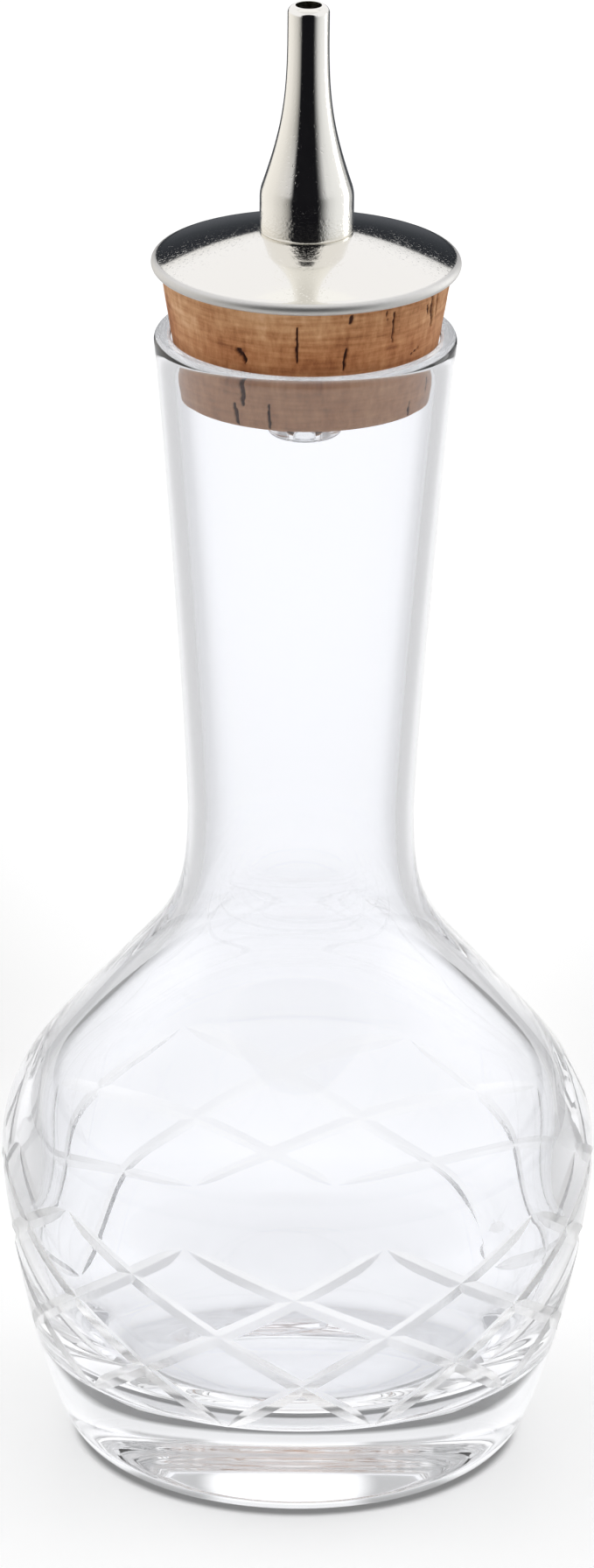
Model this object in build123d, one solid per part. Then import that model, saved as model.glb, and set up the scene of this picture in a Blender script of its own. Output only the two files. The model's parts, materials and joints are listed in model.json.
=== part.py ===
from build123d import *
import os
from math import cos, radians, sin, tan

# Bitters bottle: cut-glass bottle with a tapered cork that carries a screwed metal dasher.
# Millimetres, +Z up, origin at the middle of the foot, heights measured from the table.

# Glass, outside
base_flat_radius = 22.3
heel_radius = 25.9
heel_height = 3.2
heel_lean = 24
belly_radius = 32.5
belly_height = 33.2
shoulder_radius = 22.05
shoulder_height = 52.0
shoulder_lean = 41
waist_radius = 12.3
waist_height = 73.0
mouth_radius = 16.15
mouth_height = 127.6
mouth_lean = 5.5
lip_round = 0.9
punt_radius = 17.0
punt_depth = 1.0

# How far each end of a glass curve runs straight before it bends
heel_reach = 10.0
belly_reach_down = 4.0
belly_reach_up = 7.8
shoulder_reach_down = 10.0
shoulder_reach_up = 11.9
waist_reach_down = 11.2
waist_reach_up = 6.0
mouth_reach = 14.0

# Glass, walls
base_thickness = 9.8
floor_radius = 14.0
floor_reach = 11.5
floor_wall_reach = 17.0
belly_wall = 3.5
shoulder_wall = 2.6
waist_wall = 2.0
mouth_wall = 1.85
mouth_round = 0.6

# Wheel-cut diamond lattice round the belly
groove_count = 10
groove_angle = 120
groove_depth = 0.5
tip_depth = 0.06
lattice_top = 34.4
lattice_middle = 23.8
lattice_bottom = 12.3
wheel_depth = 3.0

# Cork
cork_taper = 9.5
cork_below_mouth = 6.5
cork_above_mouth = 7.1
cork_edge = 0.4
cork_clearance = 0.08

# Metal disc on the cork
disc_radius = 16.47
rim_thickness = 1.3
dome_rise = 2.9
dome_crown = 0.25
land_margin = 0.3

# Screwed nozzle
barrel_radius = 5.0
foot_radius = 4.83
foot_round = 0.5
barrel_length = 4.4
barrel_round = 0.7
flare_lean = 18.5
flare_reach = 6.5
tip_radius = 2.22
tip_round = 0.8
tip_length = 3.2
tip_reach = 7.0
nozzle_length = 24.75
channel_radius = 1.4
socket_depth = 6.5

# Threaded stem and the nut that holds it from below
stem_radius = 2.5
stem_bore_radius = 1.4
nut_radius = 3.95
nut_length = 4.5
nut_floor = 0.9
nut_round = 0.5
inlet_radius = 1.2

# Fits
running_clearance = 0.05
passing_clearance = 0.1
end_clearance = 0.2

# Heights that follow
cork_bottom = mouth_height - cork_below_mouth
cork_top = mouth_height + cork_above_mouth
rim_top = cork_top + rim_thickness
land_height = rim_top + dome_rise
nozzle_top = land_height + nozzle_length
barrel_top = land_height + barrel_length
socket_top = land_height + socket_depth
nut_bottom = cork_bottom - nut_length
nut_seat = nut_bottom + nut_floor
land_radius = foot_radius + land_margin


# Shared drawing helpers

def turned(*edges):
    """Spin a closed half outline, drawn as radius and height, about the vertical axis."""
    outline = Wire([Plane.XZ * edge for edge in edges])
    return revolve(Face(outline), Axis.Z, clean=False)


def moved(point, lean, distance):
    """The point at a distance along a direction that leans from the vertical, outwards."""
    return (point[0] + distance * sin(radians(lean)), point[1] + distance * cos(radians(lean)))


def bend(start, start_lean, start_reach, end, end_lean, end_reach):
    """A smooth curve upwards between two points, leaving and arriving at the given leans."""
    return Bezier(start, moved(start, start_lean, start_reach), moved(end, end_lean, -end_reach), end)


def rounded(start, corner, end):
    """A curve that rounds off a corner between two points on its sides."""
    return Bezier(start, corner, end)


# Glass bottle

def lip_centre(inside):
    """The centre of the lip's outer or inner rounding."""
    if inside:
        return (mouth_radius - mouth_wall + mouth_round, mouth_height - mouth_round)
    return (mouth_radius - lip_round, mouth_height - lip_round)


def outer_curves():
    """The outside of the bottle, from the edge of its flat foot up to the lip."""
    foot = (base_flat_radius, 0)
    heel = (heel_radius, heel_height)
    heel_corner = (heel_radius - heel_height * tan(radians(heel_lean)), 0)
    belly = (belly_radius, belly_height)
    shoulder = (shoulder_radius, shoulder_height)
    waist = (waist_radius, waist_height)
    lip = lip_centre(inside=False)
    arc = CenterArc(lip, lip_round, -mouth_lean, 90 + mouth_lean)
    mouth = (arc @ 0).X, (arc @ 0).Y
    return [
        rounded(foot, heel_corner, heel),
        bend(heel, heel_lean, heel_reach, belly, 0, belly_reach_down),
        bend(belly, 0, belly_reach_up, shoulder, -shoulder_lean, shoulder_reach_down),
        bend(shoulder, -shoulder_lean, shoulder_reach_up, waist, 0, waist_reach_down),
        bend(waist, 0, waist_reach_up, mouth, mouth_lean, mouth_reach),
        arc,
    ]


def inner_curves():
    """The inside of the bottle, from the middle of its floor up to the lip."""
    floor_middle = (0, base_thickness)
    floor_edge = (floor_radius, base_thickness)
    belly = (belly_radius - belly_wall, belly_height)
    shoulder = (
        shoulder_radius - shoulder_wall * cos(radians(shoulder_lean)),
        shoulder_height - shoulder_wall * sin(radians(shoulder_lean)),
    )
    waist = (waist_radius - waist_wall, waist_height)
    arc = CenterArc(lip_centre(inside=True), mouth_round, 90, 90 - mouth_lean)
    mouth = (arc @ 1).X, (arc @ 1).Y
    return [
        Line(floor_middle, floor_edge),
        bend(floor_edge, 90, floor_reach, belly, 0, floor_wall_reach),
        bend(belly, 0, belly_reach_up, shoulder, -shoulder_lean, shoulder_reach_down),
        bend(shoulder, -shoulder_lean, shoulder_reach_up, waist, 0, waist_reach_down),
        bend(waist, 0, waist_reach_up, mouth, mouth_lean, mouth_reach),
        arc,
    ]


def bottle_blank():
    """The bottle before its pattern is cut, with a shallow punt under the foot."""
    outer = outer_curves()
    inner = inner_curves()
    punt = ThreePointArc(
        (0, punt_depth),
        (punt_radius / 2, punt_depth * 3 / 4),
        (punt_radius, 0),
    )
    foot_ring = Line(punt @ 1, outer[0] @ 0)
    lip_top = Line(outer[-1] @ 1, inner[-1] @ 0)
    axis_line = Line((0, punt_depth), (0, base_thickness))
    return turned(punt, foot_ring, *outer, lip_top, *inner, axis_line)


def glass_radius(height):
    """The bottle's outside radius at a height."""
    level = Line((0, height), (2 * belly_radius, height))
    hits = [point.X for curve in outer_curves() for point in curve.intersect(level) or []]
    return max(hits)


def on_glass(height, turn, depth):
    """A point at a depth under the glass surface, at a height and a turn from the front."""
    radius = glass_radius(height) - depth
    return Vector(radius * sin(radians(turn)), -radius * cos(radians(turn)), height)


def groove_ring(lean):
    """The path of one cut: a ring with a V edge that dips into the glass between its two tips."""
    step = 180 / groove_count
    path = ThreePointArc(
        on_glass(lattice_top, -lean * 2 * step, tip_depth),
        on_glass(lattice_middle, 0, groove_depth),
        on_glass(lattice_bottom, lean * 2 * step, tip_depth),
    )
    centre = path.arc_center
    away = centre - path @ 0.5
    half_width = wheel_depth * tan(radians(groove_angle / 2))
    edge = Polyline(
        (path.radius, 0),
        (path.radius + wheel_depth, half_width),
        (path.radius + wheel_depth, -half_width),
        close=True,
    )
    across = Plane(centre, x_dir=away, z_dir=away.cross(path.normal()))
    return revolve(make_face(across * edge), Axis(centre, path.normal()))


def glass_bottle():
    """The bottle with its two crossing sets of cuts, its seam turned clear of their crossings."""
    pitch = 360 / groove_count
    bottle = Rot(0, 0, pitch / 4) * bottle_blank()
    for lean in (1, -1):
        ring = groove_ring(lean)
        for number in range(groove_count):
            bottle = bottle.cut(Rot(0, 0, (number + 0.5) * pitch) * ring)
    return bottle


# Stopper

def cork_radius(height):
    """The cork's radius at a height, from where it seats on the mouth's inner rounding."""
    seat_radius, seat_height = lip_centre(inside=True)
    reach = (mouth_round + cork_clearance) / cos(radians(cork_taper))
    return seat_radius - reach + (height - seat_height) * tan(radians(cork_taper))


def cork_stopper():
    """Tapered cork, bored for the stem."""
    bore = stem_radius + passing_clearance
    edge_height = cork_bottom + cork_edge
    outline = Polyline(
        (bore, cork_bottom),
        (cork_radius(cork_bottom) - cork_edge, cork_bottom),
        (cork_radius(edge_height), edge_height),
        (cork_radius(cork_top), cork_top),
        (bore, cork_top),
        close=True,
    )
    return turned(*outline.edges())


def cap_disc():
    """Metal disc with a round rim and a low dome up to the nozzle's land."""
    bore = stem_radius + passing_clearance
    rim_round = rim_thickness / 2
    rim = CenterArc((disc_radius - rim_round, cork_top + rim_round), rim_round, -90, 180)
    dome = SagittaArc(rim @ 1, (land_radius, land_height), -dome_crown)
    return turned(
        Line((bore, cork_top), rim @ 0),
        rim,
        dome,
        Line(dome @ 1, (bore, land_height)),
        Line((bore, land_height), (bore, cork_top)),
    )


def retaining_nut():
    """Round nut under the cork, closed below but for its inlet."""
    thread_radius = stem_radius + running_clearance
    edge = CenterArc((nut_radius - nut_round, nut_bottom + nut_round), nut_round, -90, 90)
    walls = Polyline(
        edge @ 1,
        (nut_radius, cork_bottom),
        (thread_radius, cork_bottom),
        (thread_radius, nut_seat),
        (inlet_radius, nut_seat),
        (inlet_radius, nut_bottom),
        edge @ 0,
    )
    return turned(edge, *walls.edges())


# Dasher

def threaded_stem():
    """Hollow stem from the nut up into the nozzle."""
    bottom = nut_seat + end_clearance
    top = socket_top - end_clearance
    tube = Cylinder(stem_radius, top - bottom, align=(Align.CENTER, Align.CENTER, Align.MIN))
    bore = Cylinder(stem_bore_radius, top - bottom, align=(Align.CENTER, Align.CENTER, Align.MIN))
    return Pos(0, 0, bottom) * (tube - bore)


def dasher_nozzle():
    """Turned spout: round barrel, waisted flare and a thin tip, bored through."""
    socket_radius = stem_radius + running_clearance
    foot = rounded(
        (foot_radius, land_height),
        (barrel_radius, land_height),
        (barrel_radius, land_height + foot_round),
    )
    barrel_end = (barrel_radius, barrel_top - barrel_round)
    flare_start = moved((barrel_radius, barrel_top), -flare_lean, barrel_round)
    tip_start = (tip_radius, nozzle_top - tip_length)
    tip = CenterArc((tip_radius - tip_round, nozzle_top - tip_round), tip_round, 0, 90)
    bore = Polyline(
        tip @ 1,
        (channel_radius, nozzle_top),
        (channel_radius, socket_top),
        (socket_radius, socket_top),
        (socket_radius, land_height),
        foot @ 0,
    )
    return turned(
        foot,
        Line(foot @ 1, barrel_end),
        rounded(barrel_end, (barrel_radius, barrel_top), flare_start),
        bend(flare_start, -flare_lean, flare_reach, tip_start, 0, tip_reach),
        Line(tip_start, tip @ 0),
        tip,
        *bore.edges(),
    )


pieces = {
    "glass_bottle": glass_bottle,
    "cork_stopper": cork_stopper,
    "cap_disc": cap_disc,
    "retaining_nut": retaining_nut,
    "threaded_stem": threaded_stem,
    "dasher_nozzle": dasher_nozzle,
}

os.makedirs("parts", exist_ok=True)
for name, make in pieces.items():
    export_step(make(), f"parts/{name}.step")
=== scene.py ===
import json
from math import atan2, cos, degrees, hypot, pi, radians, sin, tan
from random import Random

import bmesh
import bpy
from mathutils import Matrix, Quaternion, Vector, noise
from mathutils.geometry import interpolate_bezier

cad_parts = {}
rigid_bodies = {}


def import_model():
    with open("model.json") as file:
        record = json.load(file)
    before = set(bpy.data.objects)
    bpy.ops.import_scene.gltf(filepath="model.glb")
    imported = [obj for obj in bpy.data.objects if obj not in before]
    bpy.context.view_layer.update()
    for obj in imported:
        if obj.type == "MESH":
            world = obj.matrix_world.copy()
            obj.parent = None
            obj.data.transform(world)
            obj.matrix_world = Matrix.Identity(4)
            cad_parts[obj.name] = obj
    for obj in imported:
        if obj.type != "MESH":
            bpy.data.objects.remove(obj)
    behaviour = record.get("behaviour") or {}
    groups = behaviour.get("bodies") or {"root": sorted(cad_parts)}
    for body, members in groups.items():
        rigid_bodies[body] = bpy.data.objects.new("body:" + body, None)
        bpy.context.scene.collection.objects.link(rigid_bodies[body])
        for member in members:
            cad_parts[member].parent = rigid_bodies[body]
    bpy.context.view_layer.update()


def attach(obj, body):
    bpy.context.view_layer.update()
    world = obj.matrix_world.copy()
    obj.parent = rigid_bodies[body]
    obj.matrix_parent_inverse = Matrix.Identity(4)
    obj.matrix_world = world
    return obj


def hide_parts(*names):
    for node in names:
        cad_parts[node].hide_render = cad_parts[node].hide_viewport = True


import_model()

# Metres, in the frame's own axes. The glass is drawn with the same sizes as its node.
mm = 0.001

# Photograph
photo_height = 1791
focal_pixels = 10500
sensor_long_side = 36
camera_distance = 994.95 * mm
camera_elevation = radians(21.669)
camera_turn = radians(1.7)
camera_roll = radians(0.55)
target = Vector((-0.45 * mm, 0, 75.869 * mm))

# Glass, outside
base_flat_radius = 22.3 * mm
heel_radius = 25.9 * mm
heel_height = 3.2 * mm
heel_lean = radians(24)
belly_radius = 32.5 * mm
belly_height = 33.2 * mm
shoulder_radius = 22.05 * mm
shoulder_height = 52.0 * mm
shoulder_lean = radians(41)
waist_radius = 12.3 * mm
waist_height = 73.0 * mm
mouth_radius = 16.15 * mm
mouth_height = 127.6 * mm
mouth_lean = radians(5.5)
lip_round = 0.9 * mm
punt_radius = 17.0 * mm
punt_depth = 1.0 * mm

# How far each end of a glass curve runs straight before it bends
heel_reach = 10.0 * mm
belly_reach_down = 4.0 * mm
belly_reach_up = 7.8 * mm
shoulder_reach_down = 10.0 * mm
shoulder_reach_up = 11.9 * mm
waist_reach_down = 11.2 * mm
waist_reach_up = 6.0 * mm
mouth_reach = 14.0 * mm

# Glass, walls
base_thickness = 9.8 * mm
floor_radius = 14.0 * mm
floor_reach = 11.5 * mm
floor_wall_reach = 17.0 * mm
belly_wall = 3.5 * mm
shoulder_wall = 2.6 * mm
waist_wall = 2.0 * mm
mouth_wall = 1.85 * mm
mouth_round = 0.6 * mm

# Wheel-cut diamond lattice
groove_angle = radians(149)
groove_depth = 0.26 * mm
wheel_depth = 0.8 * mm
tip_rise = 0.04 * mm
tip_share = 0.1
cut_steps = 60
ahead_share = 0.01

# The cuts one by one, half of them leaning each way: each one's turn from the front in degrees and
# height in millimetres at its top, half-way down, where two cross, and at its foot
lattice_cuts = (
    (-20.1, 34.3, 20.2, 23.8, 53.0, 12.6),
    (18.6, 34.9, 51.2, 23.6, 88.0, 12.6),
    (53.6, 34.3, 86.0, 24.0, 127.4, 13.0),
    (83.0, 34.5, 119.5, 25.0, 172.4, 11.8),
    (114.0, 36.0, 167.5, 23.1, 208.7, 12.3),
    (156.5, 33.8, 205.1, 23.7, 246.0, 12.5),
    (208.5, 35.3, 256.5, 24.8, 278.0, 12.6),
    (250.0, 35.8, 279.0, 24.0, 312.0, 12.4),
    (280.0, 34.6, 312.0, 23.8, 346.7, 12.1),
    (312.0, 34.6, 346.0, 23.8, 378.5, 12.4),
    (18.6, 34.9, -14.0, 23.8, -48.0, 12.4),
    (53.6, 34.3, 20.2, 23.8, -13.3, 12.1),
    (83.0, 34.5, 51.2, 23.6, 18.5, 12.4),
    (114.0, 36.0, 86.0, 24.0, 53.0, 12.6),
    (156.5, 33.8, 119.5, 25.0, 88.0, 12.6),
    (208.5, 35.3, 167.5, 23.1, 127.4, 13.0),
    (250.0, 35.8, 205.1, 23.7, 172.4, 11.8),
    (280.0, 34.6, 256.5, 24.8, 208.7, 12.3),
    (312.0, 34.6, 279.0, 24.0, 246.0, 12.5),
    (339.9, 34.3, 312.0, 23.8, 278.0, 12.6),
)

# Cork
cork_taper = radians(9.5)
cork_below_mouth = 6.5 * mm
cork_above_mouth = 7.1 * mm
cork_edge = 0.4 * mm
cork_clearance = 0.08 * mm

# Metal disc on the cork
disc_radius = 16.47 * mm
rim_thickness = 1.3 * mm
dome_rise = 2.9 * mm
dome_crown = 0.25 * mm
land_margin = 0.3 * mm

# Screwed nozzle
barrel_radius = 5.0 * mm
foot_radius = 4.83 * mm
foot_round = 0.5 * mm
barrel_length = 4.4 * mm
barrel_round = 0.7 * mm
flare_lean = radians(18.5)
flare_reach = 6.5 * mm
tip_radius = 2.22 * mm
tip_round = 0.8 * mm
tip_length = 3.2 * mm
tip_reach = 7.0 * mm
nozzle_length = 24.75 * mm
channel_radius = 1.4 * mm
socket_depth = 6.5 * mm

# Threaded stem and its nut
stem_radius = 2.5 * mm
stem_bore_radius = 1.4 * mm
thread_pitch = 0.8 * mm
thread_depth = 0.43 * mm
thread_crest = 0.12 * mm
thread_root_share = 0.92
thread_start_share = 0.6
nut_radius = 3.95 * mm
nut_length = 4.5 * mm
nut_floor = 0.9 * mm
nut_round = 0.5 * mm
inlet_radius = 1.2 * mm

# Fits
running_clearance = 0.05 * mm
passing_clearance = 0.1 * mm
end_clearance = 0.2 * mm

# Heights that follow
cork_bottom = mouth_height - cork_below_mouth
cork_top = mouth_height + cork_above_mouth
rim_top = cork_top + rim_thickness
land_height = rim_top + dome_rise
nozzle_top = land_height + nozzle_length
barrel_top = land_height + barrel_length
socket_top = land_height + socket_depth
nut_bottom = cork_bottom - nut_length
nut_seat = nut_bottom + nut_floor
land_radius = foot_radius + land_margin

# Steps round a turned piece
glass_steps = 256
cork_steps = 640
fine_steps = 192
thread_steps = 48

# Points closer than this are one, and faces that meet at less than this angle look smooth
merge_distance = 0.002 * mm
smooth_angle = radians(20)


# Drawing helpers

def moved(point, lean, distance):
    """The point at a distance along a direction that leans from the vertical, outwards."""
    return Vector((point[0] + distance * sin(lean), point[1] + distance * cos(lean)))


def bend(start, start_lean, start_reach, end, end_lean, end_reach, steps):
    """Points on a smooth curve upwards, leaving and arriving at the given leans."""
    first = moved(start, start_lean, start_reach)
    last = moved(end, end_lean, -end_reach)
    return interpolate_bezier(Vector(start), first, last, Vector(end), steps + 1)


def rounded(start, corner, end, steps):
    """Points on a curve that rounds off a corner between two points on its sides."""
    start, corner, end = Vector(start), Vector(corner), Vector(end)
    first = start.lerp(corner, 2 / 3)
    last = end.lerp(corner, 2 / 3)
    return interpolate_bezier(start, first, last, end, steps + 1)


def arc(centre, radius, start, turn, steps):
    """Points on an arc, its angles counted from outwards to upwards."""
    angles = [start + turn * step / steps for step in range(steps + 1)]
    return [Vector((centre[0] + radius * cos(a), centre[1] + radius * sin(a))) for a in angles]


def line(start, end, steps):
    """Evenly spaced points on a straight line."""
    return [Vector(start).lerp(Vector(end), step / steps) for step in range(steps + 1)]


def joined(*stretches):
    """One outline out of stretches that meet end to end."""
    outline = [stretches[0][0]]
    for stretch in stretches:
        outline += [p for p in stretch if (p - outline[-1]).length > merge_distance]
    return outline


def turned(outline, steps, closed=True):
    """A mesh being built: a half outline of radius and height, spun about the upright axis."""
    shape = bmesh.new()
    rim = [shape.verts.new((radius, 0, height)) for radius, height in outline]
    ends = rim[1:] + rim[:1] if closed else rim[1:]
    sides = [shape.edges.new(pair) for pair in zip(rim, ends)]
    bmesh.ops.spin(
        shape, geom=rim + sides, cent=(0, 0, 0), axis=(0, 0, 1),
        angle=2 * pi, steps=steps, use_merge=True,
    )
    bmesh.ops.remove_doubles(shape, verts=shape.verts, dist=merge_distance)
    bmesh.ops.dissolve_degenerate(shape, dist=merge_distance / 2, edges=shape.edges)
    bmesh.ops.recalc_face_normals(shape, faces=shape.faces)
    return shape


def object_from(name, shape, *materials):
    """A linked object that takes over a mesh being built."""
    mesh = bpy.data.meshes.new(name)
    shape.to_mesh(mesh)
    shape.free()
    for material in materials:
        mesh.materials.append(material)
    thing = bpy.data.objects.new(name, mesh)
    bpy.context.scene.collection.objects.link(thing)
    return thing


def smoothed(thing):
    """Smooth faces, with a crisp edge where two meet at more than a small angle or a cut begins."""
    shape = bmesh.new()
    shape.from_mesh(thing.data)
    for face in shape.faces:
        face.smooth = True
    for edge in shape.edges:
        alike = len({face.material_index for face in edge.link_faces}) == 1
        edge.smooth = alike and len(edge.link_faces) == 2 and edge.calc_face_angle() < smooth_angle
    shape.to_mesh(thing.data)
    shape.free()
    return thing


# Shader helpers

class Value:
    """A shader value. Arithmetic on it adds the Math nodes."""

    def __init__(self, finish, socket):
        self.finish = finish
        self.socket = socket

    def __add__(self, other):
        return self.finish.math("ADD", self, other)

    def __sub__(self, other):
        return self.finish.math("SUBTRACT", self, other)

    def __rsub__(self, other):
        return self.finish.math("SUBTRACT", other, self)

    def __mul__(self, other):
        return self.finish.math("MULTIPLY", self, other)

    __radd__ = __add__
    __rmul__ = __mul__


class Finish:
    """A node tree being put together."""

    def __init__(self, tree):
        self.tree = tree
        tree.nodes.clear()

    def node(self, kind, settings=None, inputs=None, output=0):
        """One of the outputs of a new node, made with its settings and then its socket values."""
        made = self.tree.nodes.new(kind)
        for name, value in (settings or {}).items():
            if name == "stops":
                set_stops(made.color_ramp, value)
            else:
                setattr(made, name, value)
        for name, value in (inputs or {}).items():
            if isinstance(value, Value):
                self.tree.links.new(value.socket, made.inputs[name])
            else:
                made.inputs[name].default_value = value
        return None if output is None else Value(self, made.outputs[output])

    def math(self, operation, *terms):
        """The result of a Math node."""
        return self.node("ShaderNodeMath", {"operation": operation}, dict(enumerate(terms)))

    def mix(self, factor, first, second, blend="MIX"):
        """A colour mixed from two, which the factor moves from the first to the second."""
        settings = {"data_type": "RGBA", "blend_type": blend, "clamp_factor": True}
        return self.node("ShaderNodeMix", settings, {0: factor, 6: first, 7: second}, output=2)

    def ramp(self, value, *stops):
        """A value or colour read off a ramp."""
        return self.node("ShaderNodeValToRGB", {"stops": stops}, {"Fac": value})

    def step(self, value, low, high):
        """A smooth step from 0 to 1 as the value goes from low to high."""
        settings = {"interpolation_type": "SMOOTHSTEP", "clamp": True}
        inputs = {"Value": value, "From Min": low, "From Max": high}
        return self.node("ShaderNodeMapRange", settings, inputs)

    def axes(self, coordinates="Object"):
        """How far across, back and up each point lies, as three values."""
        place = self.node("ShaderNodeTexCoord", output=coordinates)
        parts = self.node("ShaderNodeSeparateXYZ", None, {"Vector": place}).socket.node.outputs
        return [Value(self, parts[axis]) for axis in "XYZ"]

    def noise(self, scale, detail, roughness=0.55, stretch=(1, 1, 1)):
        """Cloudy noise between 0 and 1, which a stretch under 1 draws out along its axis."""
        place = self.node("ShaderNodeTexCoord", output="Object")
        place = self.node("ShaderNodeMapping", None, {"Vector": place, "Scale": stretch})
        inputs = {"Vector": place, "Scale": scale, "Detail": detail, "Roughness": roughness}
        return self.node("ShaderNodeTexNoise", None, inputs)

    def bump(self, height, depth, under=None):
        """A normal that tilts with the height, whose full range is the depth in metres."""
        inputs = {"Height": height, "Distance": depth}
        if under is not None:
            inputs["Normal"] = under
        return self.node("ShaderNodeBump", None, inputs)

    def surface(self, **inputs):
        """The shader and the output, its sockets named with underscores for spaces."""
        named = {name.replace("_", " "): value for name, value in inputs.items()}
        self.finished(self.node("ShaderNodeBsdfPrincipled", None, named))

    def finished(self, shader):
        """The tree's output node, fed with a shader."""
        kind = "ShaderNodeOutputMaterial"
        if shader.socket.node.bl_idname == "ShaderNodeBackground":
            kind = "ShaderNodeOutputWorld"
        self.node(kind, None, {"Surface": shader}, output=None)


def set_stops(ramp, stops):
    """Give a ramp its stops, each a position and a grey or a colour."""
    while len(ramp.elements) > 1:
        ramp.elements.remove(ramp.elements[-1])
    for number, (position, colour) in enumerate(stops):
        element = ramp.elements[0] if number == 0 else ramp.elements.new(position)
        element.position = position
        shade = colour if isinstance(colour, tuple) else (colour,) * 3
        element.color = (*shade, 1)


def new_material(name):
    """A material with an empty tree, and the finish that fills it."""
    material = bpy.data.materials.new(name)
    material.use_nodes = True
    return material, Finish(material.node_tree)


# Materials

glass_index = 1.5
glass_tone = (0.970, 0.976, 0.997, 1)
glass_wave_depth = 0.02 * mm
cut_roughness = 0.22
cut_clearness = 0.95
cut_rib_depth = 0.01 * mm


def clear_glass():
    """Polished soda glass, faintly blue, with the slight waves that blowing leaves."""
    material, finish = new_material("clear_glass")
    waves = finish.noise(60, 1)
    finish.surface(
        Base_Color=glass_tone, Roughness=0.0, IOR=glass_index,
        Transmission_Weight=1.0, Normal=finish.bump(waves, glass_wave_depth),
    )
    return material


def cut_glass():
    """The wheel's cuts, polished but still faintly ribbed and satiny."""
    material, finish = new_material("cut_glass")
    ribs = finish.noise(900, 2)
    finish.surface(
        Base_Color=(1, 1, 1, 1), Roughness=cut_roughness, IOR=glass_index,
        Transmission_Weight=cut_clearness, Normal=finish.bump(ribs, cut_rib_depth),
    )
    return material


# The cork turns darker and ruddier down to the mouth. Below the mouth, inside the glass, it is
# painted paler: painted light that stands in for the light the glass lets in and the reflections on
# the glass
cork_tones = (
    (0.36, (0.34, 0.125, 0.04)), (0.46, (0.58, 0.26, 0.105)),
    (0.55, (0.74, 0.39, 0.185)), (0.65, (0.92, 0.57, 0.32)),
)
ruddy_tone = (0.90, 0.74, 0.62, 1)
ruddy_heights = (135.5 * mm, 130 * mm)
ruddy_wander = 4 * mm
painted_light_tone = (1.0, 0.68, 0.53, 1)
painted_light_share = 0.32
painted_light_heights = (mouth_height - 0.2 * mm, mouth_height - 2.0 * mm)
pore_tone = (0.085, 0.028, 0.014, 1)
pore_edge = (0.02, 0.8)
cork_roughness = 0.85
grain_depth = 0.10 * mm


def cork_bark():
    """Natural cork: tan grain, darker growth lines and brown pores, and painted light that makes it
    paler inside the glass.
    """
    material, finish = new_material("natural_cork")
    grain = finish.noise(1100, 4, 0.65, stretch=(1, 1, 0.35))
    clouds = finish.noise(130, 3)
    lines = finish.noise(1900, 3, stretch=(0.1, 0.1, 1))
    _, _, up = finish.axes()
    pore = finish.node("ShaderNodeAttribute", {"attribute_name": "pore"}, output="Fac")
    body = finish.ramp(clouds * 0.36 + grain * 0.34 + lines * 0.3, *cork_tones)
    pale = finish.mix(painted_light_share, body, painted_light_tone)
    ruddy = finish.mix(1.0, body, ruddy_tone, "MULTIPLY")
    body = finish.mix(finish.step(up + clouds * ruddy_wander, *ruddy_heights), body, ruddy)
    # Painted light: the cork is mixed paler below the mouth, inside the glass
    body = finish.mix(finish.step(up, *painted_light_heights), body, pale)
    colour = finish.mix(finish.step(pore, *pore_edge), body, pore_tone)
    normal = finish.bump(grain, grain_depth)
    finish.surface(Base_Color=colour, Roughness=cork_roughness, Normal=normal)
    return material


nickel_tone = (0.84, 0.82, 0.77, 1)
nickel_gloss = ((0.35, 0.06), (0.75, 0.12))
# Past the rim's edge: satin wear, and a darker tone that is painted shade
worn_and_shaded_tone = (0.68, 0.67, 0.65, 1)
worn_roughness = 0.42
wear_and_shade_fade = 0.3 * mm
pit_edge = ((0.60, 0.0), (0.72, 1.0))
pit_depth = 0.006 * mm
pebble_depth = 0.035 * mm
pebble_fade = 0.4 * mm
pebble_reach = 2.9 * mm


def polished_nickel(name, pebbled=None, wear_and_shade_past=None):
    """Nickel plate polished to a mirror, with hairlines and fine pits. A band may be left pebbly,
    and what lies past a radius satin from wear, with a darker tone there that is painted shade."""
    material, finish = new_material(name)
    across, back, up = finish.axes()
    streaks = finish.noise(2500, 2, stretch=(1, 1, 0.15))
    pits = finish.ramp(finish.noise(3200, 2), *pit_edge)
    normal = finish.bump(1 - pits, pit_depth)
    if pebbled:
        low, high = pebbled
        band = finish.step(up, low, low + pebble_fade)
        band = band * (1 - finish.step(up, high - pebble_fade, high))
        pebbles = finish.noise(2600, 2, stretch=(1, 1, 1.3))
        normal = finish.bump(pebbles * band, pebble_depth, under=normal)
    gloss = finish.ramp(streaks, *nickel_gloss)
    tone = nickel_tone
    if wear_and_shade_past:
        radius = finish.math("SQRT", across * across + back * back)
        wear_and_shade = finish.step(radius, wear_and_shade_past, wear_and_shade_past + wear_and_shade_fade)
        gloss = gloss + wear_and_shade * worn_roughness
        # Painted shade: the satin rim also takes a darker tone, for its dimmer reflections
        tone = finish.mix(wear_and_shade, nickel_tone, worn_and_shaded_tone)
    finish.surface(Base_Color=tone, Metallic=1.0, Roughness=gloss, Normal=normal)
    return material


plastic_index = 1.49
plastic_tone = (0.9, 0.91, 0.92, 1)
plastic_roughness = 0.08
plastic_wave_depth = 0.03 * mm


def clear_plastic():
    """Clear injection-moulded plastic."""
    material, finish = new_material("clear_plastic")
    waves = finish.noise(500, 1)
    finish.surface(
        Base_Color=plastic_tone, Roughness=plastic_roughness, IOR=plastic_index,
        Transmission_Weight=1.0, Normal=finish.bump(waves, plastic_wave_depth),
    )
    return material


steel_tone = (0.62, 0.61, 0.59, 1)
steel_gloss = ((0.3, 0.22), (0.7, 0.38))


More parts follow.
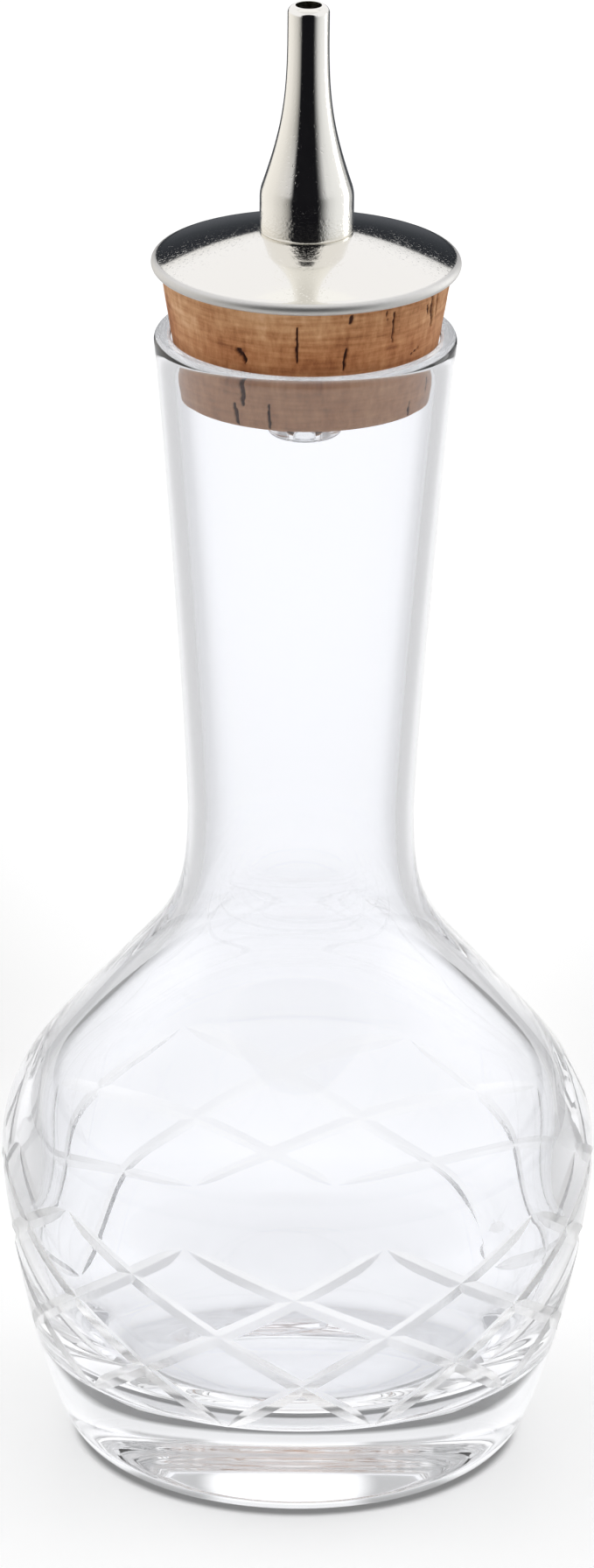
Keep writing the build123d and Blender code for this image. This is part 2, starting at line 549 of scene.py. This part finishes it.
def stem_steel():
    """Plain turned steel."""
    material, finish = new_material("stem_steel")
    rings = finish.noise(900, 2, stretch=(1, 1, 8))
    gloss = finish.ramp(rings, *steel_gloss)
    finish.surface(Base_Color=steel_tone, Metallic=1.0, Roughness=gloss)
    return material


# Glass bottle

def lip_centre(inside):
    """The centre of the lip's outer or inner rounding."""
    if inside:
        return (mouth_radius - mouth_wall + mouth_round, mouth_height - mouth_round)
    return (mouth_radius - lip_round, mouth_height - lip_round)


def outer_outline():
    """The outside of the bottle, from the edge of its flat foot up to the lip."""
    foot = (base_flat_radius, 0)
    heel = (heel_radius, heel_height)
    heel_corner = (heel_radius - heel_height * tan(heel_lean), 0)
    belly = (belly_radius, belly_height)
    shoulder = (shoulder_radius, shoulder_height)
    waist = (waist_radius, waist_height)
    lip = arc(lip_centre(inside=False), lip_round, -mouth_lean, pi / 2 + mouth_lean, 8)
    return joined(
        rounded(foot, heel_corner, heel, 7),
        bend(heel, heel_lean, heel_reach, belly, 0, belly_reach_down, 32),
        bend(belly, 0, belly_reach_up, shoulder, -shoulder_lean, shoulder_reach_down, 22),
        bend(shoulder, -shoulder_lean, shoulder_reach_up, waist, 0, waist_reach_down, 22),
        bend(waist, 0, waist_reach_up, lip[0], mouth_lean, mouth_reach, 24),
        lip,
    )


def inner_outline():
    """The inside of the bottle, from the middle of its floor up to the lip."""
    floor_middle = (0, base_thickness)
    floor_edge = (floor_radius, base_thickness)
    belly = (belly_radius - belly_wall, belly_height)
    shoulder = (
        shoulder_radius - shoulder_wall * cos(shoulder_lean),
        shoulder_height - shoulder_wall * sin(shoulder_lean),
    )
    waist = (waist_radius - waist_wall, waist_height)
    lip = arc(lip_centre(inside=True), mouth_round, pi / 2, pi / 2 - mouth_lean, 6)
    return joined(
        line(floor_middle, floor_edge, 6),
        bend(floor_edge, pi / 2, floor_reach, belly, 0, floor_wall_reach, 30),
        bend(belly, 0, belly_reach_up, shoulder, -shoulder_lean, shoulder_reach_down, 22),
        bend(shoulder, -shoulder_lean, shoulder_reach_up, waist, 0, waist_reach_down, 22),
        bend(waist, 0, waist_reach_up, lip[-1], mouth_lean, mouth_reach, 24),
        lip[::-1],
    )


def bottle_outline():
    """The bottle's whole half outline, from the punt round to the floor."""
    punt = rounded((0, punt_depth), (punt_radius / 2, punt_depth), (punt_radius, 0), 8)
    foot_ring = line((punt_radius, 0), (base_flat_radius, 0), 3)
    return joined(punt, foot_ring, outer_outline(), inner_outline()[::-1])


def on_glass(turn, height):
    """The point of the glass at a turn from the front and a height, and the way out of it."""
    outline = outer_outline()
    for low, high in zip(outline, outline[1:]):
        if low[1] <= height < high[1]:
            radius = low.lerp(high, (height - low[1]) / (high[1] - low[1]))[0]
            across, along = high - low
            away = Vector((sin(turn), -cos(turn), 0))
            out = (away * along - Vector((0, 0, across))).normalized()
            return away * radius + Vector((0, 0, height)), out
    raise ValueError("no glass at that height")


def cut_place(cut, share):
    """A cut's point on the glass and the way out of it, at a share of its way down."""
    weights = ((2 * share - 1) * (share - 1), 4 * share * (1 - share), share * (2 * share - 1))
    turn = sum(weight * value for weight, value in zip(weights, cut[0::2]))
    height = sum(weight * value for weight, value in zip(weights, cut[1::2]))
    return on_glass(radians(turn), height * mm)


def cut_depth(share):
    """How deep a cut goes at a share of its way down: even, and run out at both tips."""
    reach = min(1, min(share, 1 - share) / tip_share)
    return (groove_depth + tip_rise) * (1 - (1 - reach) ** 2) - tip_rise


def cutter_shape(cut):
    """The V-edged bar that follows one cut, its edge turned towards the bottle."""
    shape = bmesh.new()
    half_width = wheel_depth * tan(groove_angle / 2)
    places = ((0, 0, 0), (half_width, wheel_depth, 0), (-half_width, wheel_depth, 0))
    corners = [shape.verts.new(place) for place in places]
    sides = [shape.edges.new(pair) for pair in zip(corners, corners[1:] + corners[:1])]
    swept = bmesh.ops.spin(
        shape, geom=corners + sides, cent=(0, 0, 0), axis=(0, 0, 1), angle=0,
        dvec=(0, 0, 1 / cut_steps), steps=cut_steps, use_merge=False,
    )
    last = [piece for piece in swept["geom_last"] if isinstance(piece, bmesh.types.BMEdge)]
    bmesh.ops.contextual_create(shape, geom=sides)
    bmesh.ops.contextual_create(shape, geom=last)
    for vert in shape.verts:
        across, height, share = vert.co
        share = min(1, max(0, share))
        point, out = cut_place(cut, share)
        ahead = cut_place(cut, min(1, share + ahead_share))[0]
        behind = cut_place(cut, max(0, share - ahead_share))[0]
        side = out.cross(ahead - behind).normalized()
        vert.co = point + out * (height - cut_depth(share)) + side * across
    bmesh.ops.recalc_face_normals(shape, faces=shape.faces)
    if shape.calc_volume(signed=True) < 0:
        bmesh.ops.reverse_faces(shape, faces=shape.faces)
    for face in shape.faces:
        face.material_index = 1
    return shape


def cut_lattice(bottle):
    """Cut the two crossing sets of grooves into the bottle."""
    wheels = bpy.data.collections.new("wheels")
    bpy.context.scene.collection.children.link(wheels)
    for cut in lattice_cuts:
        cutter = object_from("wheel", cutter_shape(cut), *bottle.data.materials)
        bpy.context.scene.collection.objects.unlink(cutter)
        wheels.objects.link(cutter)
    cuts = bottle.modifiers.new("cuts", "BOOLEAN")
    cuts.operation = "DIFFERENCE"
    cuts.solver = "MANIFOLD"
    cuts.operand_type = "COLLECTION"
    cuts.collection = wheels
    apply_modifiers(bottle)
    for cutter in list(wheels.objects):
        bpy.data.objects.remove(cutter)
    bpy.data.collections.remove(wheels)


def apply_modifiers(thing):
    """Put a thing's modifiers into its mesh."""
    view = bpy.context.evaluated_depsgraph_get()
    mesh = bpy.data.meshes.new_from_object(thing.evaluated_get(view))
    thing.modifiers.clear()
    thing.data = mesh


def glass_bottle(clear, cut):
    """The bottle with its lattice."""
    blank = turned(bottle_outline(), glass_steps, closed=False)
    bottle = object_from("bottle_glass", blank, clear, cut)
    cut_lattice(bottle)
    return smoothed(bottle)


# Stopper

# Dark pores in the cork's near side: each one's turn from the front in degrees and height in
# millimetres, at its top and at its bottom, then its width and depth in millimetres
cork_pores = (
    (-1.8, 133.1, -1.8, 129.0, 0.36, 0.35),
    (18.6, 130.7, 18.1, 127.9, 0.40, 0.35),
    (20.4, 134.4, 19.6, 133.3, 0.55, 0.25),
    (39.0, 134.6, 39.8, 130.5, 0.34, 0.35),
    (35.1, 134.5, 36.0, 133.2, 0.22, 0.20),
    (61.5, 134.6, 65.0, 130.6, 0.75, 0.40),
    (58.9, 133.6, 60.5, 132.3, 0.45, 0.25),
    (66.5, 134.4, 67.4, 131.8, 0.40, 0.30),
    (-26.9, 130.1, -25.6, 129.2, 0.90, 0.40),
    (-25.0, 129.6, -24.2, 128.5, 0.70, 0.45),
    (58.2, 128.9, 52.0, 128.2, 0.60, 0.25),
    (80.0, 134.0, 84.0, 130.6, 0.30, 0.25),
    (-25.2, 127.4, -25.1, 123.6, 0.75, 0.25),
    (-29.2, 124.0, -29.0, 121.2, 0.60, 0.25),
    (-13.8, 124.4, -13.7, 121.2, 0.36, 0.20),
    (-66.9, 123.9, -66.0, 120.9, 0.25, 0.15),
    (52.6, 123.2, 52.6, 121.3, 0.45, 0.20),
    (62.4, 125.4, 63.8, 123.4, 0.35, 0.12),
)
hidden_pores = 26
hidden_seed = 5
hidden_turns = (95, 275)
hidden_lengths = (0.8, 4.2)
hidden_widths = (0.22, 0.7)
hidden_depth = 0.3
hidden_lean = 1.5
pore_low = 121.5
pore_high = 134.6

# How a pore wanders and swells along its way, how bluntly it ends and how steep its sides are
pore_reach = 5
pore_wander = 0.35
wander_scale = 1.3
pore_fullness = 0.95
pore_swell = 0.5
swell_scale = 2.1
pore_bluntness = 0.4
pore_steepness = 1.6
thinnest_pore = 0.01

# The cork's rough grain
grain_sink = 0.02 * mm
grain_scale = 0.9
grain_kind = (0.8, 2.2, 3)


def cork_radius(height):
    """The cork's radius at a height, from where it seats on the mouth's inner rounding."""
    seat_radius, seat_height = lip_centre(inside=True)
    reach = (mouth_round + cork_clearance) / cos(cork_taper)
    return seat_radius - reach + (height - seat_height) * tan(cork_taper)


def all_pores():
    """The pores that the photograph shows, and others like them round the far side."""
    chance = Random(hidden_seed)
    pores = list(cork_pores)
    for _ in range(hidden_pores):
        turn = chance.uniform(*hidden_turns)
        length = chance.uniform(*hidden_lengths)
        top = chance.uniform(pore_low + length, pore_high)
        lean = chance.uniform(-hidden_lean, hidden_lean)
        width = chance.uniform(*hidden_widths)
        pores.append((turn, top, turn + lean, top - length, width, hidden_depth))
    return pores


def pore_weight(pore, turn, point):
    """How far inside a pore a point of the cork's side lies, from 0 at its edge to 1."""
    top_turn, top, foot_turn, foot, width, depth = pore
    height = point.z / mm
    along = (top - height) / (top - foot)
    middle = top_turn + (foot_turn - top_turn) * along
    off = (turn - middle + 180) % 360 - 180
    if not 0 < along < 1 or abs(off) > pore_reach:
        return 0
    wander = noise.noise(Vector((height * wander_scale, top_turn, 0))) * width * pore_wander
    across = radians(off) * hypot(point.x, point.y) / mm - wander
    swell = noise.noise(Vector((height * swell_scale, foot_turn, 5))) * pore_swell
    bulge = (4 * along * (1 - along)) ** pore_bluntness
    half_width = width / 2 * (pore_fullness + swell) * bulge
    inside = 1 - abs(across) / max(half_width, thinnest_pore)
    return max(0, min(1, pore_steepness * inside))


def cork_stopper(material):
    """Tapered cork, bored for the stem, with its pores sunk into its side."""
    bore = stem_radius + passing_clearance
    low_edge = (cork_radius(cork_bottom) - cork_edge, cork_bottom)
    edge_top = (cork_radius(cork_bottom + cork_edge), cork_bottom + cork_edge)
    rim = (cork_radius(cork_top), cork_top)
    outline = joined(
        line((bore, cork_bottom), low_edge, 12),
        line(low_edge, edge_top, 2),
        line(edge_top, rim, 64),
        line(rim, (bore, cork_top), 6),
    )
    shape = turned(outline, cork_steps)
    dark = shape.verts.layers.float.new("pore")
    pores = all_pores()
    for vert in shape.verts:
        radius = hypot(vert.co.x, vert.co.y)
        if radius < bore + cork_edge or vert.co.z > cork_top - cork_edge / 8:
            continue
        turn = degrees(atan2(vert.co.x, -vert.co.y))
        deepest = 0
        for pore in pores:
            weight = pore_weight(pore, turn, vert.co)
            if weight * pore[-1] > deepest:
                deepest = weight * pore[-1]
                vert[dark] = weight
        grain = noise.fractal(vert.co / mm * grain_scale, *grain_kind)
        sunk = deepest * mm + grain_sink * (1 + max(-1, min(1, grain)))
        away = Vector((vert.co.x, vert.co.y, 0)).normalized()
        vert.co -= away * sunk
    return smoothed(object_from("cork", shape, material))


def cap_disc(material):
    """Metal disc with a round rim and a low dome up to the nozzle's land."""
    bore = stem_radius + passing_clearance
    rim_round = rim_thickness / 2
    rim = arc((disc_radius - rim_round, cork_top + rim_round), rim_round, -pi / 2, pi, 24)
    land = Vector((land_radius, land_height))
    middle = (rim[-1] + land) / 2
    along = (land - rim[-1]).normalized()
    crown = middle + Vector((-along[1], along[0])) * -2 * dome_crown
    outline = joined(
        line((bore, cork_top), rim[0], 4),
        rim,
        rounded(rim[-1], crown, land, 24),
        line(land, (bore, land_height), 2),
        line((bore, land_height), (bore, cork_top), 2)[:-1],
    )
    return smoothed(object_from("disc", turned(outline, glass_steps), material))


def screw_thread(low, high, root, crest):
    """A helical ridge with flat ends, wound from low to high on a round core."""
    turns = int((high - low) / thread_pitch) - 1
    shape = bmesh.new()
    half_root = thread_pitch * thread_root_share / 2
    half_crest = thread_crest / 2
    start = low + thread_pitch * thread_start_share
    corners = (
        (root, -half_root), (crest, -half_crest), (crest, half_crest), (root, half_root),
    )
    section = [shape.verts.new((radius, 0, start + rise)) for radius, rise in corners]
    sides = [shape.edges.new(pair) for pair in zip(section, section[1:] + section[:1])]
    wound = bmesh.ops.spin(
        shape, geom=section + sides, cent=(0, 0, 0), axis=(0, 0, 1), angle=2 * pi * turns,
        dvec=(0, 0, thread_pitch / thread_steps), steps=thread_steps * turns, use_merge=False,
    )
    last = [piece for piece in wound["geom_last"] if isinstance(piece, bmesh.types.BMEdge)]
    bmesh.ops.contextual_create(shape, geom=sides)
    bmesh.ops.contextual_create(shape, geom=last)
    bmesh.ops.recalc_face_normals(shape, faces=shape.faces)
    return shape


def combine(thing, tool, operation):
    """Join a tool to a thing or cut it away, and drop the tool."""
    step = thing.modifiers.new("combine", "BOOLEAN")
    step.operation = operation
    step.solver = "MANIFOLD"
    step.object = tool
    apply_modifiers(thing)
    bpy.data.objects.remove(tool)


def retaining_nut(material):
    """Round nut under the cork, threaded inside and closed below but for its inlet."""
    bore = stem_radius - thread_depth
    edge = arc((nut_radius - nut_round, nut_bottom + nut_round), nut_round, -pi / 2, pi / 2, 8)
    outline = joined(
        edge,
        line(edge[-1], (nut_radius, cork_bottom), 2),
        line((nut_radius, cork_bottom), (bore, cork_bottom), 2),
        line((bore, cork_bottom), (bore, nut_seat), 2),
        line((bore, nut_seat), (inlet_radius, nut_seat), 2),
        line((inlet_radius, nut_seat), (inlet_radius, nut_bottom), 2),
        line((inlet_radius, nut_bottom), edge[0], 3)[:-1],
    )
    nut = object_from("nut", turned(outline, fine_steps), material)
    groove = screw_thread(
        nut_seat - thread_pitch / 4, cork_bottom + thread_pitch * 2,
        bore - 2 * running_clearance, stem_radius + 2 * running_clearance,
    )
    combine(nut, object_from("nut_thread", groove), "DIFFERENCE")
    return smoothed(nut)


# Dasher

def threaded_stem(material):
    """Hollow stem with a real screw thread, from the nut up into the nozzle."""
    low = nut_seat + end_clearance
    high = socket_top - end_clearance
    root = stem_radius - thread_depth
    outline = joined(
        line((stem_bore_radius, low), (root, low), 1),
        line((root, low), (root, high), 2),
        line((root, high), (stem_bore_radius, high), 1),
        line((stem_bore_radius, high), (stem_bore_radius, low), 2)[:-1],
    )
    stem = object_from("stem", turned(outline, thread_steps), material)
    ridge = screw_thread(low, high, root - 2 * running_clearance, stem_radius)
    combine(stem, object_from("stem_thread", ridge), "UNION")
    return smoothed(stem)


def dasher_nozzle(material):
    """Turned spout: round barrel, waisted flare and a thin tip, bored through."""
    socket_radius = stem_radius + running_clearance
    foot = rounded(
        (foot_radius, land_height), (barrel_radius, land_height),
        (barrel_radius, land_height + foot_round), 8,
    )
    barrel_end = (barrel_radius, barrel_top - barrel_round)
    flare_start = moved((barrel_radius, barrel_top), -flare_lean, barrel_round)
    tip_start = (tip_radius, nozzle_top - tip_length)
    tip = arc((tip_radius - tip_round, nozzle_top - tip_round), tip_round, 0, pi / 2, 12)
    outline = joined(
        foot,
        line(foot[-1], barrel_end, 6),
        rounded(barrel_end, (barrel_radius, barrel_top), flare_start, 8),
        bend(flare_start, -flare_lean, flare_reach, tip_start, 0, tip_reach, 32),
        line(tip_start, tip[0], 3),
        tip,
        line(tip[-1], (channel_radius, nozzle_top), 1),
        line((channel_radius, nozzle_top), (channel_radius, socket_top), 6),
        line((channel_radius, socket_top), (socket_radius, socket_top), 1),
        line((socket_radius, socket_top), (socket_radius, land_height), 3),
        line((socket_radius, land_height), foot[0], 2)[:-1],
    )
    return smoothed(object_from("nozzle", turned(outline, fine_steps), material))


# Studio

# A ring round the stopper that only mirrors see, in millimetres of height and in degrees of turn
# from the front: soft white all round, a brighter strip, black in front and slate behind
ring_radius = 62 * mm
ring_heights = (113, 240)
ring_steps = 96
side_levels = (
    (-152, 0.7), (-128, 1.05), (-89, 0.93), (-60, 0.68), (-42, 0.34),
    (47, 0.62), (74, 0.92), (106, 1.08), (128, 0.62), (152, 0.66),
)
left_tint = (1.0, 0.976, 0.94, 1)
right_tint = (0.99, 1.0, 1.01, 1)
top_white = (1.05, 1.05, 1.08, 1)
top_from = (150, 172)
strip_white = (2.0, 2.0, 2.0, 1)
strip_turns = (100, 104, 120, 124)
front_black = (0.008, 0.008, 0.010, 1)
front_left = (-44, -31)
front_right = (27, 58)
front_high = (207, 214)
front_arch = 0.02
back_turns = (137, 143)
back_low = 126
back_high = (160, 161.5)
back_slate = (
    (0.0, (0.10, 0.106, 0.12)), (0.45, (0.048, 0.053, 0.062)), (0.9, (0.025, 0.028, 0.035)),
)


def mirror_ring():
    """The ring that the polished metal mirrors."""
    material, finish = new_material("mirror_ring")
    across, back, up = finish.axes()
    turn = finish.math("ARCTAN2", across, 0 - back) * degrees(1)
    height = up * (1 / mm)
    past = finish.step(turn, *strip_turns[:2])
    strip = past * (1 - finish.step(turn, *strip_turns[2:]))
    stops = [(turned / 360 + 0.5, level) for turned, level in side_levels]
    sides = finish.ramp(turn * (1 / 360) + 0.5, *stops)
    tint = finish.mix(finish.step(turn, *front_left), left_tint, right_tint)
    white = finish.mix(1.0, sides, tint, "MULTIPLY")
    white = finish.mix(strip, white, strip_white)
    white = finish.mix(finish.step(height, *top_from), white, top_white)
    off = turn - sum(front_left + front_right) / 4
    arched = height + off * off * front_arch
    in_front = finish.step(turn, *front_left) * (1 - finish.step(turn, *front_right))
    dark = in_front * (1 - finish.step(arched, *front_high))
    behind = finish.step(finish.math("ABSOLUTE", turn), *back_turns)
    slate = finish.ramp(finish.step(height, back_low, back_high[0]), *back_slate)
    colour = finish.mix(dark, white, front_black)
    colour = finish.mix(behind * (1 - finish.step(height, *back_high)), colour, slate)
    finish.surface(
        Base_Color=(0, 0, 0, 1), Specular_IOR_Level=0.0, Roughness=1.0,
        Emission_Color=colour, Emission_Strength=1.0,
    )
    shape = bmesh.new()
    ends = [shape.verts.new((0, -ring_radius, height * mm)) for height in ring_heights]
    side = shape.edges.new(ends)
    bmesh.ops.spin(
        shape, geom=[*ends, side], cent=(0, 0, 0), axis=(0, 0, 1),
        angle=2 * pi, steps=ring_steps, use_merge=True,
    )
    ring = object_from("mirror_ring", shape, material)
    ring.visible_camera = False
    ring.visible_diffuse = False
    ring.visible_transmission = False
    ring.visible_shadow = False


# The surroundings, where each direction's three parts run from -1 to 1: how dim it is in front
# and overhead, how much brighter behind and at the sides, where each begins and ends, and how the
# light rises from the horizon
front_dim = 0.62
front_fade = (0.25, -0.35)
top_dim = 0.1
top_fade = (0.45, 0.85)
back_more = 0.2
back_fade = (0.22, 0.42)
side_more = 0.25
side_fade = (0.55, 0.9)
horizon = ((0.05, 0.22), (0.095, 0.85), (0.3, 0.92), (0.42, 1.0))

# Two dark bands behind, one to each side, that give the glass its grey lines
band_inside = (0.18, 0.28)
band_outside = (0.48, 0.60)
band_low = (0.22, 0.34)
band_high = (0.74, 0.86)
band_shade = 0.55


def studio_world():
    """Soft surroundings: bright behind and overhead, dimmer in front, where the camera stands."""
    world = bpy.data.worlds.new("studio")
    bpy.context.scene.world = world
    world.use_nodes = True
    finish = Finish(world.node_tree)
    across, behind, height = finish.axes("Generated")
    aside = finish.math("ABSOLUTE", across)
    front = finish.step(behind, *front_fade)
    top = finish.step(height, *top_fade)
    back_light = finish.step(height, *back_fade) * (1 - front) * back_more
    side_light = finish.step(aside, *side_fade) * (1 - top) * side_more
    level = 1.0 - front * (1 - top) * front_dim - top * top_dim + back_light + side_light
    level = level * finish.ramp(height, *horizon)
    banded = finish.step(aside, *band_inside) * (1 - finish.step(aside, *band_outside))
    banded = banded * finish.step(height, *band_low) * (1 - finish.step(height, *band_high))
    level = level * (1 - banded * (1 - front) * band_shade)
    light = {"Color": (1, 1, 1, 1), "Strength": level}
    finish.finished(finish.node("ShaderNodeBackground", None, light))


# The floor's own glow, painted light as of a light table: how it grows with the distance behind,
# and where it fades, to the sides, where it also widens behind, then behind and in front
glow = 0.33
glow_more = 0.09
glow_growth = (60 * mm, 280 * mm)
glow_sides = (10 * mm, 100 * mm)
glow_widening = 0.3
widens_from = 120 * mm
glow_behind = (600 * mm, 900 * mm)
glow_in_front = (-30 * mm, -120 * mm)
# Painted light: a pool of glow round the bottle and another under it, brightening the floor where
# the bottle's shadow falls
near_glow = 0.12
near_reach = (55 * mm, 110 * mm)
under_glow = 0.12
under_reach = (10 * mm, 16 * mm)

# The dark line where the bottle's heel leaves the floor: a painted contact shadow in the floor's
# colour and glow, in front only
contact_start = (20.0 * mm, 21.5 * mm)
contact_end = (23.8 * mm, 25.2 * mm)
contact_behind = (-6 * mm, 4 * mm)
contact_shade = 0.7

# The floor lies a hair under the foot, so that the two don't share a plane
floor_drop = 0.03 * mm
floor_extent = 10.0
floor_steps = 96
floor_tone = 0.75
floor_roughness = 0.5
floor_gloss = 0.2


def studio_floor():
    """A wide pale floor with painted light, which glows softly under and behind the bottle, and a
    painted contact shadow by its heel.
    """
    material, finish = new_material("studio_floor")
    across, back, _ = finish.axes()
    radius = finish.math("SQRT", across * across + back * back)
    beyond = finish.math("MAXIMUM", back - widens_from, 0.0)
    side = finish.math("ABSOLUTE", across) - beyond * glow_widening
    narrow = 1 - finish.step(side, *glow_sides)
    behind = 1 - finish.step(back, *glow_behind)
    in_front = 1 - finish.step(back, *glow_in_front)
    near = 1 - finish.step(radius, *near_reach)
    under = 1 - finish.step(radius, *under_reach)
    # Painted shadow: a ring by the heel darkens the floor's glow and colour
    contact = finish.step(radius, *contact_start) * (1 - finish.step(radius, *contact_end))
    contact = contact * (1 - finish.step(back, *contact_behind))
    level = finish.step(back, *glow_growth) * glow_more + glow
    # Painted light round and under the bottle is added to the floor's glow
    lit = narrow * behind * in_front * level + near * near_glow + under * under_glow
    lit = lit * (1 - contact * contact_shade)
    finish.surface(
        Base_Color=finish.ramp(contact, (0, floor_tone), (1, floor_tone * (1 - contact_shade))),
        Emission_Color=finish.ramp(lit, (0, 0.0), (1, 1.0)), Emission_Strength=1.0,
        Roughness=floor_roughness, Specular_IOR_Level=floor_gloss,
    )
    shape = bmesh.new()
    lower = Matrix.Translation((0, 0, -floor_drop))
    bmesh.ops.create_circle(
        shape, cap_ends=True, segments=floor_steps, radius=floor_extent, matrix=lower,
    )
    floor = object_from("studio_floor", shape, material)


def place_camera():
    """The photograph's own viewpoint."""
    data = bpy.data.cameras.new("photo_camera")
    data.sensor_width = sensor_long_side
    data.lens = focal_pixels / photo_height * sensor_long_side
    camera = bpy.data.objects.new("photo_camera", data)
    bpy.context.scene.collection.objects.link(camera)
    level = cos(camera_elevation)
    back = Vector((sin(camera_turn) * level, -cos(camera_turn) * level, sin(camera_elevation)))
    look = (-back).to_track_quat("-Z", "Y")
    camera.location = target + back * camera_distance
    camera.rotation_mode = "QUATERNION"
    camera.rotation_quaternion = look @ Quaternion((0, 0, 1), camera_roll)
    bpy.context.scene.camera = camera


light_bounces = 64


def set_view():
    """A plain view transform, and enough bounces for glass seen through glass."""
    scene = bpy.context.scene
    scene.view_settings.view_transform = "Standard"
    scene.cycles.max_bounces = light_bounces
    scene.cycles.transmission_bounces = light_bounces
    scene.cycles.glossy_bounces = light_bounces


# Put together

def fit(thing, body, slot, *nodes):
    """Ride a piece on its body, in place of its nodes."""
    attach(thing, body)
    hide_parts(*nodes)


place_camera()
set_view()
studio_world()
studio_floor()
mirror_ring()

disc_nickel = polished_nickel("disc_nickel", wear_and_shade_past=disc_radius - rim_thickness / 2)
nozzle_nickel = polished_nickel("nozzle_nickel", pebbled=(land_height, land_height + pebble_reach))
fit(glass_bottle(clear_glass(), cut_glass()), "bottle", "clear_glass", "glass_bottle")
fit(cork_stopper(cork_bark()), "stopper", "cork", "cork_stopper")
fit(cap_disc(disc_nickel), "stopper", "polished_metal", "cap_disc")
fit(retaining_nut(clear_plastic()), "stopper", "clear_plastic", "retaining_nut")
fit(threaded_stem(stem_steel()), "stem", "stem_metal", "threaded_stem")
fit(dasher_nozzle(nozzle_nickel), "nozzle", "polished_metal", "dasher_nozzle")
